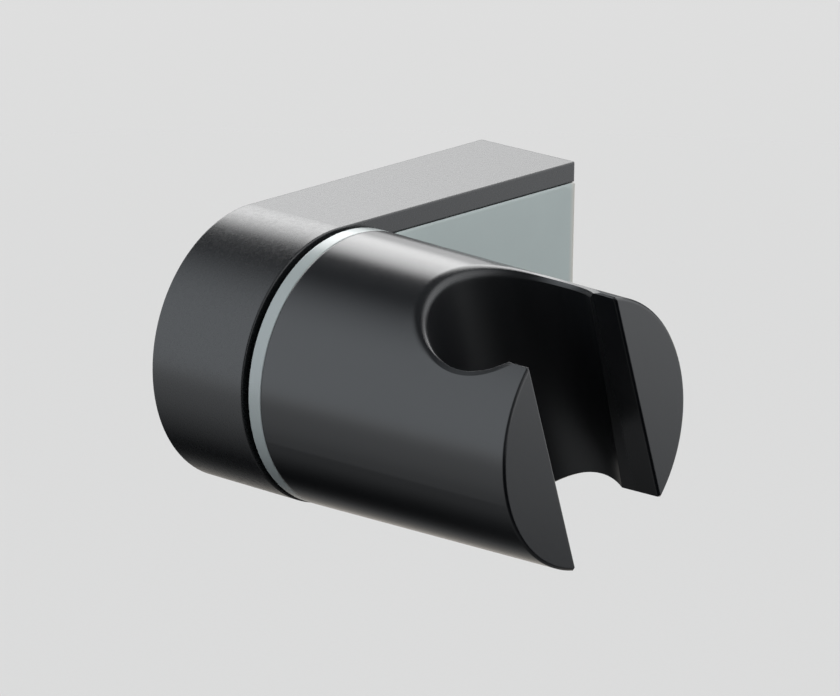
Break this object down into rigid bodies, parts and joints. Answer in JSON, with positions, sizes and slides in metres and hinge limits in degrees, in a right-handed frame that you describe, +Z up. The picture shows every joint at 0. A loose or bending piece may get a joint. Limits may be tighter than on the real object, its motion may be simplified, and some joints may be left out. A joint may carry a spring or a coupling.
{
  "type": "hand shower holder",
  "caption": "Wall holder for a hand shower: D-shaped body on a screwed wall plate, with a friction-held swivel cradle that has a tapered bore and an open slot.",
  "frame": {"origin": "on the wall, at the middle of the body's width and at the height of the swivel axis", "axes": "+Z up, -Y away from the wall into the room, +X along the swivel axis from the body to the cradle"},
  "size_m": [0.0661, 0.0712, 0.0404],
  "materials": {
    "black_abs": "satin black painted ABS",
    "grey_abs": "satin grey moulded ABS",
    "plate_abs": "as moulded, dark grey ABS",
    "rubber": "matt black rubber",
    "steel": "bright stainless steel",
    "brass": "turned brass"
  },
  "bodies": {
    "body": {"body_cover": "black_abs", "side_panel": "grey_abs", "wall_plate": "plate_abs", "set_screw": "steel", "panel_screw_upper": "steel", "panel_screw_lower": "steel", "set_screw_insert": "brass"},
    "cradle": {"cradle": "black_abs", "pivot_collar": "grey_abs", "friction_disc": "rubber", "stop_washer": "steel", "disc_spring": "steel", "clamp_washer": "steel", "lock_washer": "steel", "pivot_bolt": "steel", "bolt_insert": "brass"}
  },
  "joints": [
    {"name": "cradle_swivel", "type": "hinge", "parent": "body", "child": "cradle", "pos_m": [0, -0.051, 0], "axis": [1, 0, 0], "range_deg": [-34, 56]}
  ]
}
